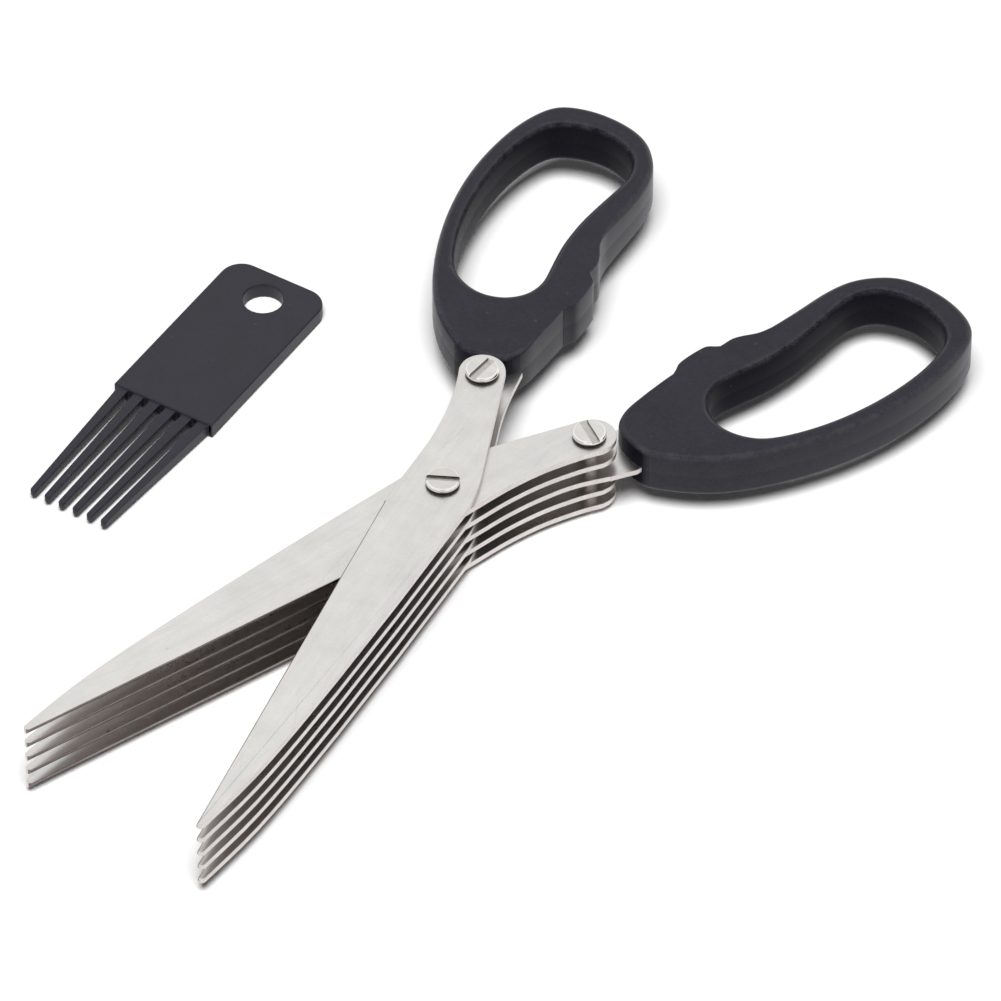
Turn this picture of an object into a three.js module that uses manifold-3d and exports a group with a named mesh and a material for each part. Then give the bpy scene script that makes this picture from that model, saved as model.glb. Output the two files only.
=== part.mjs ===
// Herb scissors: two mirrored halves of five stamped blades on one pivot, and the cleaning comb
// that goes with them. Millimetres, +Z up, origin on the pivot axis at table level. +Y runs
// from the pivot to the handles midway between the halves, +X is the right half's handle side.
// A half is drawn closed, with its blade along -Y, and then turned open about the pivot.
import * as THREE from 'three';
import { mergeVertices } from 'three/addons/utils/BufferGeometryUtils.js';
import Module from 'manifold-3d';

const wasm = await Module();
wasm.setup();

// Stack heights, from the table up
const BLADES_PER_HALF = 5;
const BLADE_THICKNESS = 1.1;
const RUNNING_GAP = 0.1;
const WASHER_THICKNESS = 0.8;
const CAP_HEIGHT = 1.1;
const HEAD_HEIGHT = 1.2;

// Blade outline: y along the closed scissors, side from the middle toward the half's own handle
const BLADE_REACH = 92.7;
const TIP_RADIUS = 0.75;
const TIP_SIDE = 0.6;
const HEEL_AHEAD = 9;
const HEEL_SIDE = 7.45;
const SPINE_SIDE = 6.8;
const SHOULDER_AHEAD = 4;
const SHOULDER_BEHIND = 5;
const SCREW_BACK = 28.4;
const SCREW_SIDE = 6.1;
const REAR_END_RADIUS = 4.2;
const REAR_END_BACK = 0.7;
const REAR_END_SIDE = 0.3;
const SPINE_SHARES = [[0.32, 0.87], [0.62, 0.655], [0.835, 0.4]];
const SHANK_SHARES = [[0.1, 0.953], [0.35, 0.943], [0.6, 1.025], [0.84, 1.22]];
const REAR_END_ARC = [105, -72].map(THREE.MathUtils.degToRad);
const TIP_SPINE_ANGLE = THREE.MathUtils.degToRad(265);
const EDGE_BEVEL_WIDTH = 0.4;
const EDGE_LAND = 0.25;

// Tang of the middle blade: a flare as wide as the handle's front, then a tongue inside it
const FLARE_START_BACK = 28;
const FLARE_OUTER_BACK = 32.9;
const FLARE_OUTER_SIDE = 12.9;
const FLARE_INNER_START_SIDE = 1.6;
const FLARE_INNER_BACK = 37;
const FLARE_INNER_SIDE = 2.7;
const TONGUE_BACK = 46.5;
const TONGUE_WIDTH = 6;
const TONGUE_SIDE = 8.4;
const TONGUE_HOLE_RADIUS = 1.6;

// Fasteners
const REAR_SHANK_RADIUS = 1.2;
const PIVOT_SHANK_RADIUS = 1.8;
const HEAD_RADIUS = 3.05;
const HEAD_CHAMFER = 0.45;
const SLOT_WIDTH = 0.75;
const SLOT_DEPTH = 0.6;
const CAP_RADIUS = 3.05;
const CAP_CHAMFER = 0.3;
const CAP_FLOOR = 0.5;
const SPACER_RADIUS = 1.9;
const WASHER_RADIUS = 3.6;
const SEAT_GAP = 0.3;
const SLOT_TURNS = { pivot: 33, left: 79, right: 164 };

// Handle loop
const HANDLE_FRONT = 33.3;
const HANDLE_LENGTH = 69.9;
const HANDLE_SIDE = 33.2;
const HANDLE_THICKNESS = 9.4;
const HANDLE_LIFT = 0.3;
const HANDLE_EDGE = 1.1;
const ROUNDED_SHARE = 0.45;
const HANDLE_STEPS = 100;
const LOOP_STEPS = 60;
const OUTLINE_SHARES = [
  [0.025, 0.41], [0.052, 0.496], [0.117, 0.643], [0.215, 0.779], [0.4, 0.921], [0.593, 0.986],
  [0.76, 0.969], [0.891, 0.897], [0.969, 0.788], [0.995, 0.6], [0.984, 0.38], [0.951, 0.228],
  [0.895, 0.128], [0.84, 0.078], [0.775, 0.062], [0.7, 0.069], [0.62, 0.086], [0.568, 0.094],
  [0.53, 0.083], [0.493, 0.048], [0.465, 0.031], [0.43, 0.034], [0.35, 0.036], [0.256, 0.042],
  [0.16, 0.067], [0.083, 0.092], [0.041, 0.145], [0.025, 0.22], [0.02, 0.315],
];
const LOOP_SHARES = [
  [0.239, 0.496], [0.254, 0.611], [0.295, 0.72], [0.399, 0.815], [0.525, 0.869], [0.664, 0.879],
  [0.8, 0.838], [0.893, 0.75], [0.922, 0.61], [0.925, 0.44], [0.897, 0.3], [0.86, 0.22],
  [0.795, 0.188], [0.724, 0.215], [0.6, 0.264], [0.492, 0.275], [0.411, 0.259], [0.344, 0.246],
  [0.288, 0.282], [0.25, 0.375],
];

// Stop pad on the handle's inner side, which meets the other handle's when the halves close
const PAD_EDGE = 0.5;
const PAD_SHARES = [
  [0.262, 0.1], [0.266, 0.038], [0.281, 0.024], [0.292, 0.006], [0.305, -0.007], [0.345, -0.015],
  [0.385, -0.016], [0.396, -0.011], [0.405, 0.001], [0.414, 0.02], [0.424, 0.033], [0.43, 0.1],
];

// Opening of the halves in the pose shown: each is turned this far from closed
const OPEN_TURN = THREE.MathUtils.degToRad(12.4);

// Cleaning comb, lying on the table beside the blades
const COMB_PLATE_WIDTH = 21;
const COMB_PLATE_LENGTH = 39.5;
const COMB_THICKNESS = 3.1;
const COMB_CORNER = 4.2;
const COMB_EDGE = 0.3;
const COMB_HOLE_RADIUS = 3.7;
const COMB_HOLE_INSET = 6.6;
const TINE_COUNT = 6;
const TINE_LENGTH = 30.2;
const TINE_ROOT_PITCH = 3.45;
const TINE_TIP_PITCH = 3;
const TINE_LEAN = -0.4;
const TINE_ROOT_WIDTH = 2.2;
const TINE_TIP_WIDTH = 1.25;
const TINE_ROOT_THICKNESS = 2.3;
const TINE_TIP_THICKNESS = 1.3;
const TINE_TOP_STEP = 0.4;
const TINE_ROOT_OVERLAP = 1.5;
const COMB_X = -60.9;
const COMB_Y = -4.1;
const COMB_TURN = THREE.MathUtils.degToRad(6.2);

// One overrun serves every cut
const CUT_OVERRUN = 1;
const ROUND_STEPS = 24;
const ARC_STEPS = 8;
const SPLINE_STEPS = 4;
const EDGE_STEPS = 2;

const PAIR_PITCH = 2 * (BLADE_THICKNESS + RUNNING_GAP) + WASHER_THICKNESS + RUNNING_GAP;
const SPACER_LENGTH = PAIR_PITCH - BLADE_THICKNESS - 2 * RUNNING_GAP;
const MIDDLE_BLADE = (BLADES_PER_HALF + 1) / 2;
const LEFT = -1;
const RIGHT = 1;

const bladeSteel = { color: 0xdcdad6, metalness: 1, roughness: 0.28 };
const nickelSteel = { color: 0xd6d3cd, metalness: 1, roughness: 0.14 };
const blackPlastic = { color: 0x39383d, metalness: 0, roughness: 0.48 };
const combPlastic = { color: 0x37363b, metalness: 0, roughness: 0.55 };

// A closed geometry as a manifold solid
function solidOf(geometry) {
  const bare = geometry.clone();
  bare.deleteAttribute('normal');
  bare.deleteAttribute('uv');
  const merged = mergeVertices(bare);
  return new wasm.Manifold(new wasm.Mesh({
    numProp: 3,
    vertProperties: Float32Array.from(merged.attributes.position.array),
    triVerts: Uint32Array.from(merged.index.array),
  }));
}

// A manifold solid as a named mesh
function meshOf(name, solid, look) {
  const { vertProperties, triVerts } = solid.getMesh();
  const geometry = new THREE.BufferGeometry();
  geometry.setAttribute('position', new THREE.BufferAttribute(vertProperties, 3));
  geometry.setIndex(new THREE.BufferAttribute(triVerts, 1));
  const mesh = new THREE.Mesh(geometry, new THREE.MeshStandardMaterial(look));
  mesh.name = name;
  return mesh;
}

// Outlines are lists of points (x to the side, y back); half mirrors one for its own half.
// All run anticlockwise, which keeps a shape and its holes facing the right way.
function shapeOf(points, half = RIGHT) {
  const placed = points.map((point) => new THREE.Vector2(half * point.x, point.y));
  return new THREE.Shape(THREE.ShapeUtils.isClockWise(placed) ? placed.reverse() : placed);
}

function smooth(points, steps) {
  return new THREE.SplineCurve(points).getPoints(steps * (points.length - 1));
}

// Points on a circle, with the angle counted from straight back toward the handle's side
function arc(centre, radius, from, to, steps) {
  const points = [];
  for (let step = 0; step <= steps; step += 1) {
    const angle = from + ((to - from) * step) / steps;
    const side = centre.x + radius * Math.sin(angle);
    points.push(new THREE.Vector2(side, centre.y + radius * Math.cos(angle)));
  }
  return points;
}

// A flat outline raised straight up from a height
function prism(shape, bottom, height) {
  const options = { depth: height, bevelEnabled: false };
  return solidOf(new THREE.ExtrudeGeometry(shape, options).translate(0, 0, bottom));
}

// A plate with its upper and lower edges rounded, inside the same outline
function roundedPlate(shape, bottom, height, edge) {
  const options = {
    depth: height - 2 * edge,
    bevelThickness: edge,
    bevelSize: edge,
    bevelOffset: -edge,
    bevelSegments: EDGE_STEPS,
  };
  return solidOf(new THREE.ExtrudeGeometry(shape, options).translate(0, 0, bottom + edge));
}

// A solid turned about +Z from [radius, height] points that start and end on the axis
function turned(profile) {
  const points = profile.map(([radius, height]) => new THREE.Vector2(radius, height));
  return solidOf(new THREE.LatheGeometry(points, ROUND_STEPS).rotateX(Math.PI / 2));
}

function roundPin(radius, bottom, height) {
  const geometry = new THREE.CylinderGeometry(radius, radius, height, ROUND_STEPS);
  return solidOf(geometry.rotateX(Math.PI / 2).translate(0, 0, bottom + height / 2));
}

function ring(outer, inner, bottom, height) {
  const bore = roundPin(inner, bottom - CUT_OVERRUN, height + 2 * CUT_OVERRUN);
  return roundPin(outer, bottom, height).subtract(bore);
}

// Rest height of a blade's underside: blade 1 is the top one, and each right blade lies under
// the left blade of the same number
function bladeBottom(half, number) {
  const lift = half === LEFT ? BLADE_THICKNESS + RUNNING_GAP : 0;
  return CAP_HEIGHT + RUNNING_GAP + lift + (BLADES_PER_HALF - number) * PAIR_PITCH;
}

// The handle is moulded round the tang, a little thicker above it than below
function handleBottom(half) {
  const tangMiddle = bladeBottom(half, MIDDLE_BLADE) + BLADE_THICKNESS / 2;
  return tangMiddle + HANDLE_LIFT - HANDLE_THICKNESS / 2;
}

const tipCentre = new THREE.Vector2(TIP_SIDE, TIP_RADIUS - BLADE_REACH);
const heel = new THREE.Vector2(HEEL_SIDE, -HEEL_AHEAD);
const shoulder = new THREE.Vector2(-SPINE_SIDE, -SHOULDER_AHEAD);
const rearScrew = new THREE.Vector2(SCREW_SIDE, SCREW_BACK);
const rearEnd = new THREE.Vector2(SCREW_SIDE + REAR_END_SIDE, SCREW_BACK + REAR_END_BACK);
const rearEndPoints = arc(rearEnd, REAR_END_RADIUS, ...REAR_END_ARC, ARC_STEPS);

// The cutting edge leans by this much from straight ahead
const edgeLean = Math.atan2(HEEL_SIDE - TIP_SIDE - TIP_RADIUS, heel.y - tipCentre.y);

// From the shoulder along the spine, round the tip and back along the straight cutting edge
function frontOutline() {
  const tip = arc(tipCentre, TIP_RADIUS, TIP_SPINE_ANGLE, Math.PI / 2 + edgeLean, ARC_STEPS);
  const along = ([ahead, side]) => new THREE.Vector2(-side * SPINE_SIDE, -ahead * BLADE_REACH);
  const spine = [shoulder, ...SPINE_SHARES.map(along), tip[0]];
  return [...smooth(spine, SPLINE_STEPS), ...tip.slice(1), heel];
}

// From the heel back along the hollow outer side of the shank, to where a rear end begins
function shankOutline(finish) {
  const along = ([back, side]) => new THREE.Vector2(side * HEEL_SIDE, back * SCREW_BACK);
  return smooth([heel, ...SHANK_SHARES.map(along), finish], SPLINE_STEPS).slice(1, -1);
}

// From the inner side's straight stretch round the shoulder, back to the outline's start
function shoulderOutline(from) {
  const lean = (from.x + SPINE_SIDE) / from.y;
  const bend = new THREE.Vector2(from.x - lean * (from.y - SHOULDER_BEHIND), SHOULDER_BEHIND);
  const corner = new THREE.Vector2(-SPINE_SIDE, 0);
  return new THREE.QuadraticBezierCurve(bend, corner, shoulder).getPoints(ARC_STEPS).slice(0, -1);
}

function plainBladeOutline() {
  return [
    ...frontOutline(),
    ...shankOutline(rearEndPoints[0]),
    ...rearEndPoints,
    ...shoulderOutline(rearEndPoints.at(-1)),
  ];
}

// The middle blade's outline runs on past the rear screw into a flare
function flaredBladeOutline() {
  const outer = new THREE.Vector2(FLARE_OUTER_SIDE, FLARE_OUTER_BACK);
  const inner = new THREE.Vector2(FLARE_INNER_SIDE, FLARE_INNER_BACK);
  const innerStart = new THREE.Vector2(FLARE_INNER_START_SIDE, FLARE_START_BACK);
  const behind = new THREE.Vector2(outer.x, inner.y);
  return [
    ...frontOutline(),
    ...shankOutline(outer),
    outer,
    behind,
    inner,
    innerStart,
    ...shoulderOutline(innerStart),
  ];
}

// The tongue inside the handle, grown by a gap to make the pocket that takes it
function tongueOutline(grown) {
  const near = TONGUE_SIDE - TONGUE_WIDTH / 2 - grown;
  const far = TONGUE_SIDE + TONGUE_WIDTH / 2 + grown;
  return [
    new THREE.Vector2(near, SCREW_BACK + REAR_END_BACK),
    new THREE.Vector2(far, SCREW_BACK + REAR_END_BACK),
    new THREE.Vector2(far, TONGUE_BACK + grown),
    new THREE.Vector2(near, TONGUE_BACK + grown),
  ];
}

// A point given as shares of the handle's length and side
function handlePoint([back, side]) {
  return new THREE.Vector3(side * HANDLE_SIDE, HANDLE_FRONT + back * HANDLE_LENGTH, 0);
}

// A closed smooth outline through such points
function handleLoop(shares, steps) {
  return new THREE.CatmullRomCurve3(shares.map(handlePoint), true).getPoints(steps).slice(0, -1);
}

const handleOutline = handleLoop(OUTLINE_SHARES, HANDLE_STEPS);
const fingerLoop = handleLoop(LOOP_SHARES, LOOP_STEPS);

// The rounding of the handle's edges leaves some flat on the narrowest stretch of the loop
function handleEdge() {
  const widths = handleOutline.map((point) => (
    Math.min(...fingerLoop.map((inner) => inner.distanceTo(point)))
  ));
  return Math.min(HANDLE_EDGE, ROUNDED_SHARE * Math.min(...widths));
}

// The wedge ground off the cutting edge, on the face away from the mating blade
function edgeBevel(half, bottom) {
  const up = half === LEFT;
  const face = up ? bottom + BLADE_THICKNESS : bottom;
  const outward = up ? 1 : -1;
  const ground = BLADE_THICKNESS - EDGE_LAND;
  const wedge = shapeOf([
    new THREE.Vector2(-EDGE_BEVEL_WIDTH, 0),
    new THREE.Vector2(CUT_OVERRUN, outward * -ground * (1 + CUT_OVERRUN / EDGE_BEVEL_WIDTH)),
    new THREE.Vector2(CUT_OVERRUN, outward * CUT_OVERRUN),
    new THREE.Vector2(-EDGE_BEVEL_WIDTH, outward * CUT_OVERRUN),
  ], half);
  const finish = heel.y - tipCentre.y + CUT_OVERRUN;
  const depth = finish + TIP_RADIUS + CUT_OVERRUN;
  const geometry = new THREE.ExtrudeGeometry(wedge, { depth, bevelEnabled: false });
  geometry.rotateX(Math.PI / 2).translate(0, finish, 0);
  geometry.rotateZ(-half * edgeLean);
  const tipSide = TIP_SIDE + TIP_RADIUS * Math.cos(edgeLean);
  geometry.translate(half * tipSide, tipCentre.y, face);
  return geometry;
}

function blade(half, number) {
  const bottom = bladeBottom(half, number);
  const flared = number === MIDDLE_BLADE;
  const outline = flared ? flaredBladeOutline() : plainBladeOutline();
  const low = bottom - CUT_OVERRUN;
  const deep = BLADE_THICKNESS + 2 * CUT_OVERRUN;
  const rearHole = roundPin(REAR_SHANK_RADIUS + SEAT_GAP, low, deep);
  let solid = prism(shapeOf(outline, half), bottom, BLADE_THICKNESS);
  if (flared) {
    // The handle's outline, moved by the gap in every direction, cuts the flare's rear edge
    const handleCut = prism(shapeOf(handleOutline, half), low, deep);
    for (const shift of arc(new THREE.Vector2(), SEAT_GAP, 0, 2 * Math.PI, ARC_STEPS)) {
      solid = solid.subtract(handleCut.translate([shift.x, shift.y, 0]));
    }
    solid = solid.add(prism(shapeOf(tongueOutline(0), half), bottom, BLADE_THICKNESS));
    const keyHole = roundPin(TONGUE_HOLE_RADIUS, low, deep);
    const keyBack = TONGUE_BACK - TONGUE_WIDTH / 2;
    solid = solid.subtract(keyHole.translate([half * TONGUE_SIDE, keyBack, 0]));
  }
  return solid
    .subtract(roundPin(PIVOT_SHANK_RADIUS + SEAT_GAP, low, deep))
    .subtract(rearHole.translate([half * rearScrew.x, rearScrew.y, 0]))
    .subtract(solidOf(edgeBevel(half, bottom)));
}

// A slotted cheese-head screw: shank from its foot up to the underside of the head
function slottedScrew(shankRadius, foot, underHead, slotTurn) {
  const top = underHead + HEAD_HEIGHT;
  const body = turned([
    [0, foot],
    [shankRadius, foot],
    [shankRadius, underHead],
    [HEAD_RADIUS, underHead],
    [HEAD_RADIUS, top - HEAD_CHAMFER],
    [HEAD_RADIUS - HEAD_CHAMFER, top],
    [0, top],
  ]);
  const cutter = new THREE.BoxGeometry(2 * (HEAD_RADIUS + CUT_OVERRUN), SLOT_WIDTH, 2 * SLOT_DEPTH);
  cutter.rotateZ(THREE.MathUtils.degToRad(slotTurn)).translate(0, 0, top);
  return body.subtract(solidOf(cutter));
}

// A low round cap nut with a blind bore, flat underneath
function capNut(shankRadius, bottom) {
  const top = bottom + CAP_HEIGHT;
  const bore = shankRadius + SEAT_GAP;
  return turned([
    [0, bottom],
    [CAP_RADIUS - CAP_CHAMFER, bottom],
    [CAP_RADIUS, bottom + CAP_CHAMFER],
    [CAP_RADIUS, top],
    [bore, top],
    [bore, bottom + CAP_FLOOR],
    [0, bottom + CAP_FLOOR],
  ]);
}

function addPivot(group) {
  const underHead = bladeBottom(LEFT, 1) + BLADE_THICKNESS + RUNNING_GAP;
  const foot = CAP_FLOOR + RUNNING_GAP;
  const screw = slottedScrew(PIVOT_SHANK_RADIUS, foot, underHead, SLOT_TURNS.pivot);
  group.add(meshOf('pivot_screw', screw, nickelSteel));
  group.add(meshOf('pivot_cap_nut', capNut(PIVOT_SHANK_RADIUS, 0), nickelSteel));
  for (let number = 1; number < BLADES_PER_HALF; number += 1) {
    const bottom = bladeBottom(RIGHT, number) - RUNNING_GAP - WASHER_THICKNESS;
    const bore = PIVOT_SHANK_RADIUS + SEAT_GAP;
    const washer = ring(WASHER_RADIUS, bore, bottom, WASHER_THICKNESS);
    group.add(meshOf(`pivot_washer_${number}`, washer, nickelSteel));
  }
}

function addRearFasteners(group, half, side) {
  const place = [half * rearScrew.x, rearScrew.y, 0];
  const underHead = bladeBottom(half, 1) + BLADE_THICKNESS + RUNNING_GAP;
  const nutBottom = bladeBottom(half, BLADES_PER_HALF) - RUNNING_GAP - CAP_HEIGHT;
  const foot = nutBottom + CAP_FLOOR + RUNNING_GAP;
  const screw = slottedScrew(REAR_SHANK_RADIUS, foot, underHead, SLOT_TURNS[side]);
  group.add(meshOf(`${side}_rear_screw`, screw.translate(place), nickelSteel));
  const nut = capNut(REAR_SHANK_RADIUS, nutBottom);
  group.add(meshOf(`${side}_rear_cap_nut`, nut.translate(place), nickelSteel));
  for (let number = 1; number < BLADES_PER_HALF; number += 1) {
    const bottom = bladeBottom(half, number) - RUNNING_GAP - SPACER_LENGTH;
    const bore = REAR_SHANK_RADIUS + SEAT_GAP;
    const spacer = ring(SPACER_RADIUS, bore, bottom, SPACER_LENGTH).translate(place);
    group.add(meshOf(`${side}_spacer_${number}`, spacer, nickelSteel));
  }
}

// The handle loop, rounded along its edges, with its stop pad and the tongue's pocket
function handle(half) {
  const bottom = handleBottom(half);
  const shape = shapeOf(handleOutline, half);
  shape.holes.push(shapeOf(fingerLoop, half));
  const pocketBottom = bladeBottom(half, MIDDLE_BLADE) - SEAT_GAP;
  const pocketHeight = BLADE_THICKNESS + 2 * SEAT_GAP;
  const pocket = prism(shapeOf(tongueOutline(SEAT_GAP), half), pocketBottom, pocketHeight);
  const pad = shapeOf(PAD_SHARES.map(handlePoint), half);
  return roundedPlate(shape, bottom, HANDLE_THICKNESS, handleEdge())
    .add(roundedPlate(pad, bottom, HANDLE_THICKNESS, PAD_EDGE))
    .subtract(pocket);
}

function scissorsHalf(half, side) {
  const group = new THREE.Group();
  group.rotation.z = -half * OPEN_TURN;
  for (let number = 1; number <= BLADES_PER_HALF; number += 1) {
    group.add(meshOf(`${side}_blade_${number}`, blade(half, number), bladeSteel));
  }
  addRearFasteners(group, half, side);
  group.add(meshOf(`${side}_handle`, handle(half), blackPlastic));
  return group;
}

// Plan of one tine, from inside the plate to its round tip; all the tips lean a little aside
function tineShape(offset) {
  const rootHalf = TINE_ROOT_WIDTH / 2;
  const tipHalf = TINE_TIP_WIDTH / 2;
  const root = offset * TINE_ROOT_PITCH;
  const tip = new THREE.Vector2(TINE_LEAN + offset * TINE_TIP_PITCH, tipHalf - TINE_LENGTH);
  return new THREE.Shape([
    new THREE.Vector2(root + rootHalf, TINE_ROOT_OVERLAP),
    new THREE.Vector2(root - rootHalf, TINE_ROOT_OVERLAP),
    ...arc(tip, tipHalf, -Math.PI / 2, -1.5 * Math.PI, ARC_STEPS),
  ]);
}

// Side view of the tines: they get thinner toward the tips from both faces
function tineSideShape() {
  const rootTop = COMB_THICKNESS - TINE_TOP_STEP;
  const rootBottom = rootTop - TINE_ROOT_THICKNESS;
  const middle = (rootTop + rootBottom) / 2;
  return new THREE.Shape([
    new THREE.Vector2(TINE_ROOT_OVERLAP, rootBottom),
    new THREE.Vector2(TINE_ROOT_OVERLAP, rootTop),
    new THREE.Vector2(0, rootTop),
    new THREE.Vector2(-TINE_LENGTH, middle + TINE_TIP_THICKNESS / 2),
    new THREE.Vector2(-TINE_LENGTH, middle - TINE_TIP_THICKNESS / 2),
    new THREE.Vector2(0, rootBottom),
  ]);
}

function combPlate() {
  const halfWidth = COMB_PLATE_WIDTH / 2;
  const corners = new THREE.Vector2(halfWidth - COMB_CORNER, COMB_PLATE_LENGTH - COMB_CORNER);
  const shape = shapeOf([
    new THREE.Vector2(-halfWidth, 0),
    new THREE.Vector2(halfWidth, 0),
    ...arc(corners, COMB_CORNER, Math.PI / 2, 0, ARC_STEPS),
    ...arc(new THREE.Vector2(-corners.x, corners.y), COMB_CORNER, 0, -Math.PI / 2, ARC_STEPS),
  ]);
  const hole = new THREE.Vector2(0, COMB_PLATE_LENGTH - COMB_HOLE_INSET);
  shape.holes.push(shapeOf(arc(hole, COMB_HOLE_RADIUS, 0, 2 * Math.PI, ROUND_STEPS).slice(1)));
  return roundedPlate(shape, 0, COMB_THICKNESS, COMB_EDGE);
}

function cleaningComb() {
  let tines;
  for (let index = 0; index < TINE_COUNT; index += 1) {
    const offset = index - (TINE_COUNT - 1) / 2;
    const tine = prism(tineShape(offset), 0, COMB_THICKNESS);
    tines = tines ? tines.add(tine) : tine;
  }
  const depth = COMB_PLATE_WIDTH;
  const side = new THREE.ExtrudeGeometry(tineSideShape(), { depth, bevelEnabled: false });
  side.translate(0, 0, -depth / 2).rotateX(Math.PI / 2).rotateZ(Math.PI / 2);
  return combPlate().add(tines.intersect(solidOf(side)));
}

const group = new THREE.Group();
group.add(scissorsHalf(LEFT, 'left'), scissorsHalf(RIGHT, 'right'));
addPivot(group);
const comb = meshOf('cleaning_comb', cleaningComb(), combPlastic);
comb.position.set(COMB_X, COMB_Y, 0);
comb.rotation.z = COMB_TURN;
group.add(comb);

export default group;
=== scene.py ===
"""Herb scissors with five pairs of blades, and their cleaning comb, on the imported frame, in metres."""

from math import cos, hypot, pi, radians, sin

import bmesh
import bpy
from mathutils import Matrix, Vector


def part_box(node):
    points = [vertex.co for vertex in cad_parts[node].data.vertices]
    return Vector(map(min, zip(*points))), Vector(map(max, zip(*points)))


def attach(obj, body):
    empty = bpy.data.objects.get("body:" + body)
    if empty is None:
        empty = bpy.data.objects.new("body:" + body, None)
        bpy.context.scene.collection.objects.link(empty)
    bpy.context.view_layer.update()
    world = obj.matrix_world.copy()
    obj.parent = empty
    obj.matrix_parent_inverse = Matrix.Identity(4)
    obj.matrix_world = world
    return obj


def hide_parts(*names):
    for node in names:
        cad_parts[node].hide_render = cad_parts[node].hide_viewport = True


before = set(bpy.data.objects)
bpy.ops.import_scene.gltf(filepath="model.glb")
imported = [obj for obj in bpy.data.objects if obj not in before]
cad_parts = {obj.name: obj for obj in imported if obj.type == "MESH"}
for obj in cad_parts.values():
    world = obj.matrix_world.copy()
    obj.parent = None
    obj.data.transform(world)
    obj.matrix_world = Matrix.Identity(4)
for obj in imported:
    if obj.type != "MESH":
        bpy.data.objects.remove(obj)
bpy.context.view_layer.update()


# Blades. Ten stampings of 1.1 mm stainless sheet, five to a half, ground to a satin finish. Each
# is sheared to its outline, which leaves a bright torn edge, and its cutting edge is ground at a
# slant. The two middle ones flare behind the rear screw and run on into the handles as a tongue.
HALF_TURN = radians(12.4)
HALVES = {"left": -1, "right": 1}
BLADE_NUMBERS = range(1, 6)
WELD_DISTANCE = 1e-6
FLAT_ANGLE = radians(0.5)
CORNER_ANGLE = radians(35)
ROUND_STEPS = 2
EVEN_WEIGHT = 90
BLADE_EDGE_ROUND = 0.0001

# The flare and the tongue, by distance back from the pivot and to the side.
FLARED_NUMBER = 3
FLARE_FRONT = 0.0315
TANG_SINK = 0.0009
TONGUE_SIDE = 0.0084
TONGUE_HALF_WIDTH = 0.00299
TONGUE_END = 0.042

# The arms of the plain lower blades, which lie a little behind the edge of the top one.
NARROW_NUMBERS = (2, 4, 5)
NARROW_BY = 0.0012
NARROW_SIDE = 0.0045
NARROW_FROM = 0.003
NARROW_FULL = 0.005
NARROW_END = 0.0335
NARROW_FADE = 0.0025

# The arcs of the outline, round the boss at the rear screw and at the bend of the flare.
UPRIGHT_SHARE = 0.99
BOSS_FRONT = 0.02
BOSS_TURN = radians(22.1)
BOSS_TURN_ERROR = radians(0.5)
BOSS_REACH = 0.00078
BOSS_STEPS = 3
FLARE_BEND = Vector((0.0016, 0.028))
FLARE_REACH = 0.005
FLARE_STEPS = 6

# The finishes: ground on top, sheared round the outline, and tinted dark below and on the honed edges in
# the mouth, as painted shade for the gaps between the blades.
MOUTH_SHADE_START = -0.0095
MOUTH_SHADE_FACING = 0.2
GROUND_TINTS = ((0.63, 0.625, 0.61, 1), (0.79, 0.775, 0.75, 1))
# Painted shade: the undersides and the honed mouth edges are tinted dark so the gaps between the blades
# look dark.
GAP_SHADE_TINTS = ((0.255, 0.214, 0.205, 1), (0.375, 0.326, 0.312, 1))
SHEARED_TINTS = ((0.55, 0.51, 0.49, 1), (0.78, 0.745, 0.725, 1))
MOUTH_SHADE_TINTS = ((0.106, 0.084, 0.079, 1), (0.345, 0.29, 0.27, 1))
SCRATCH_TINT = (0.3, 0.29, 0.27, 1)
PIT_TINT = (0.12, 0.105, 0.09, 1)
FINE_RATIO = 7.0
CLOUDS_SHARE = 0.55
LINES_SHARE = 0.25
TEARS_SHARE = 0.5
SCRATCH_SHARE = 0.09
PIT_SHARE = 0.6
LINE_STRETCH = 0.035
SCRATCH_STRETCH = 0.03
SCRATCH_TURNS = (0.22, -0.35)
TEAR_STRETCH = 0.12


def merged_copy(node):
    """A bmesh of a CAD node with its loose triangles joined and its flat faces whole."""
    shape = bmesh.new()
    shape.from_mesh(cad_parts[node].data)
    bmesh.ops.remove_doubles(shape, verts=shape.verts, dist=WELD_DISTANCE)
    bmesh.ops.dissolve_limit(shape, angle_limit=FLAT_ANGLE, verts=shape.verts, edges=shape.edges)
    return shape


def rounded(shape, radius):
    """Rounds every sharp edge."""
    corners = [
        edge for edge in shape.edges
        if edge.is_manifold and edge.calc_face_angle() > CORNER_ANGLE
    ]
    bmesh.ops.bevel(
        shape, geom=corners, offset=radius, segments=ROUND_STEPS, profile=0.5, affect="EDGES",
        material=-1, clamp_overlap=False,
    )


def placed(name, shape, materials):
    """An object in the scene with the shape as its mesh."""
    mesh = bpy.data.meshes.new(name)
    shape.to_mesh(mesh)
    shape.free()
    for material in materials:
        mesh.materials.append(material)
    thing = bpy.data.objects.new(name, mesh)
    bpy.context.scene.collection.objects.link(thing)
    return thing


def piece_of(shape, name, body, node, materials):
    """A finished piece on a CAD body in place of its node, smooth but for its sharp edges."""
    piece = placed(name, shape, materials)
    for polygon in piece.data.polygons:
        polygon.use_smooth = True
    piece.data.set_sharp_from_angle(angle=CORNER_ANGLE)
    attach(piece, body)
    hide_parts(node)
    return piece


def weighted(piece):
    """Lets the large flat faces keep their own direction beside small rounded edges."""
    normals = piece.modifiers.new("even_faces", "WEIGHTED_NORMAL")
    normals.keep_sharp = True
    normals.weight = EVEN_WEIGHT
    return piece


def to_half(point, half):
    """A point of the frame as (side towards the half's handle, distance back from the pivot)."""
    turned = Matrix.Rotation(half * HALF_TURN, 3, "Z") @ point
    return half * turned.x, turned.y


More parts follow.
